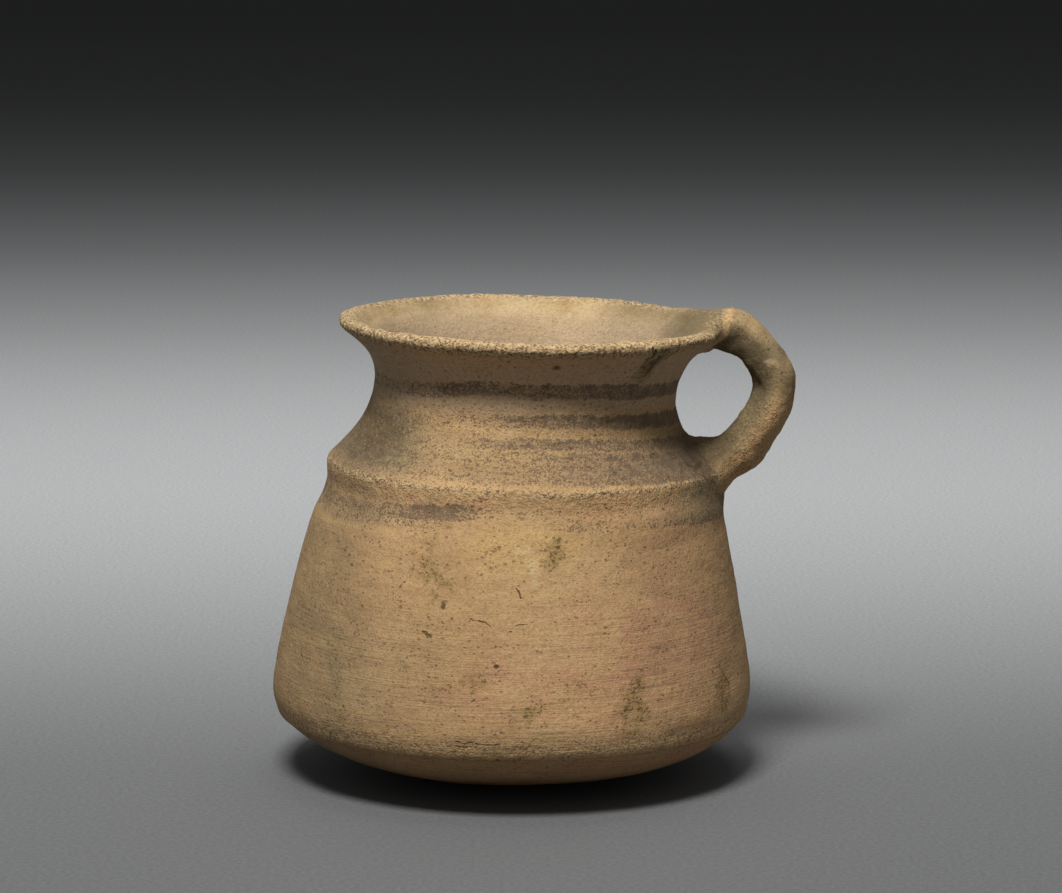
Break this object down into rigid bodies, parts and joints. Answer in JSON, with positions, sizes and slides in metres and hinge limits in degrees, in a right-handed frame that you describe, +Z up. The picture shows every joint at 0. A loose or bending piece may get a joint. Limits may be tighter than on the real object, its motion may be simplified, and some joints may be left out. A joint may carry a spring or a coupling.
{
  "type": "pot",
  "caption": "Small hand-made pot with a keeled body, ridged shoulder, short neck, flared rim and one strap handle, for holding and pouring a liquid.",
  "frame": {"origin": "centre of the worn flat that the pot stands on", "axes": "+Z up through the pot, +X towards the handle, +Y to the back as pictured"},
  "size_m": [0.1242, 0.114, 0.1111],
  "materials": {
    "base_clay": "rough fired clay",
    "wall_clay": "smoothed fired clay",
    "neck_clay": "smoothed fired clay",
    "handle_clay": "smoothed fired clay",
    "rim_pad_clay": "smoothed fired clay",
    "shoulder_pad_clay": "smoothed fired clay"
  },
  "bodies": {
    "root": {"base_bowl": "base_clay", "body_wall": "wall_clay", "neck_and_rim": "neck_clay", "handle": "handle_clay", "handle_rim_pad": "rim_pad_clay", "handle_shoulder_pad": "shoulder_pad_clay"}
  },
  "joints": []
}
